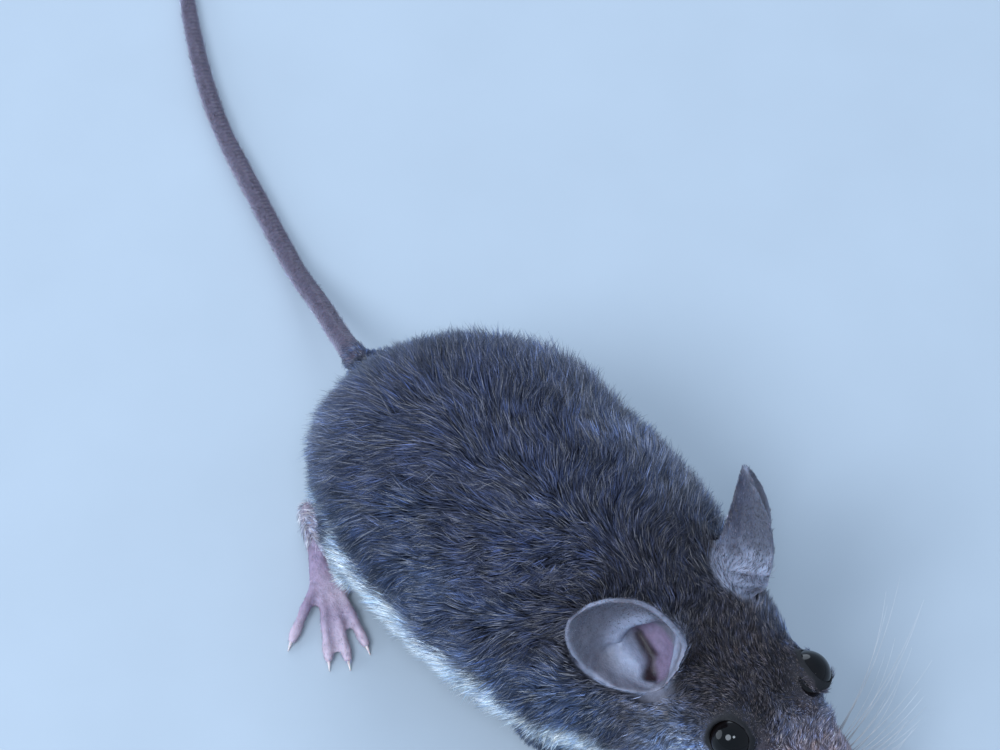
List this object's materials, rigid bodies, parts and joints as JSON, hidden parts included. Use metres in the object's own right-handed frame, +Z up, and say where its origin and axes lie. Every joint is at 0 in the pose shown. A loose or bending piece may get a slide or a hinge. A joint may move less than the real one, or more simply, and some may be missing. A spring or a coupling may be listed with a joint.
{
  "type": "small grey mouse",
  "caption": "Life-size young grey mouse standing low in a gentle curve, with large cupped ears, bulging black eyes, pale underside and a long bowed tail laid behind.",
  "frame": {"origin": "on the floor, under the middle of the bounding box", "axes": "+X runs from the tail's tip towards the nose, +Y is the mouse's left, +Z is up; the soles and the laid tail are at z = 0"},
  "size_m": [0.1442, 0.0654, 0.0325],
  "materials": {
    "coat": "soft, dense fur, slate grey-brown with paler flecks",
    "face_coat": "short, dense, dark brown-grey fur",
    "pale_coat": "soft whitish fur",
    "foot_skin": "bare pink skin, matt",
    "ear_skin": "thin grey-brown skin with very fine hair",
    "tail_skin": "finely ringed skin, dark above and pale below",
    "nose_skin": "bare, slightly moist skin",
    "eye": "wet, glossy black",
    "claw": "pale translucent horn",
    "whisker": "fine stiff hair, dark at the root and pale at the tip"
  },
  "bodies": {
    "root": {"thigh_left": "coat", "thigh_right": "coat", "upper_arm_left": "coat", "upper_arm_right": "coat", "trunk": "coat", "neck": "coat", "head": "face_coat", "muzzle": "face_coat", "shank_left": "pale_coat", "shank_right": "pale_coat", "forearm_left": "pale_coat", "forearm_right": "pale_coat", "lower_jaw": "pale_coat", "hind_foot_left": "foot_skin", "hind_foot_right": "foot_skin", "forefoot_left": "foot_skin", "forefoot_right": "foot_skin", "ear_left": "ear_skin", "ear_right": "ear_skin", "tail_1": "tail_skin", "tail_2": "tail_skin", "tail_3": "tail_skin", "tail_4": "tail_skin", "nose": "nose_skin", "eye_left": "eye", "eye_right": "eye"}
  },
  "joints": []
}
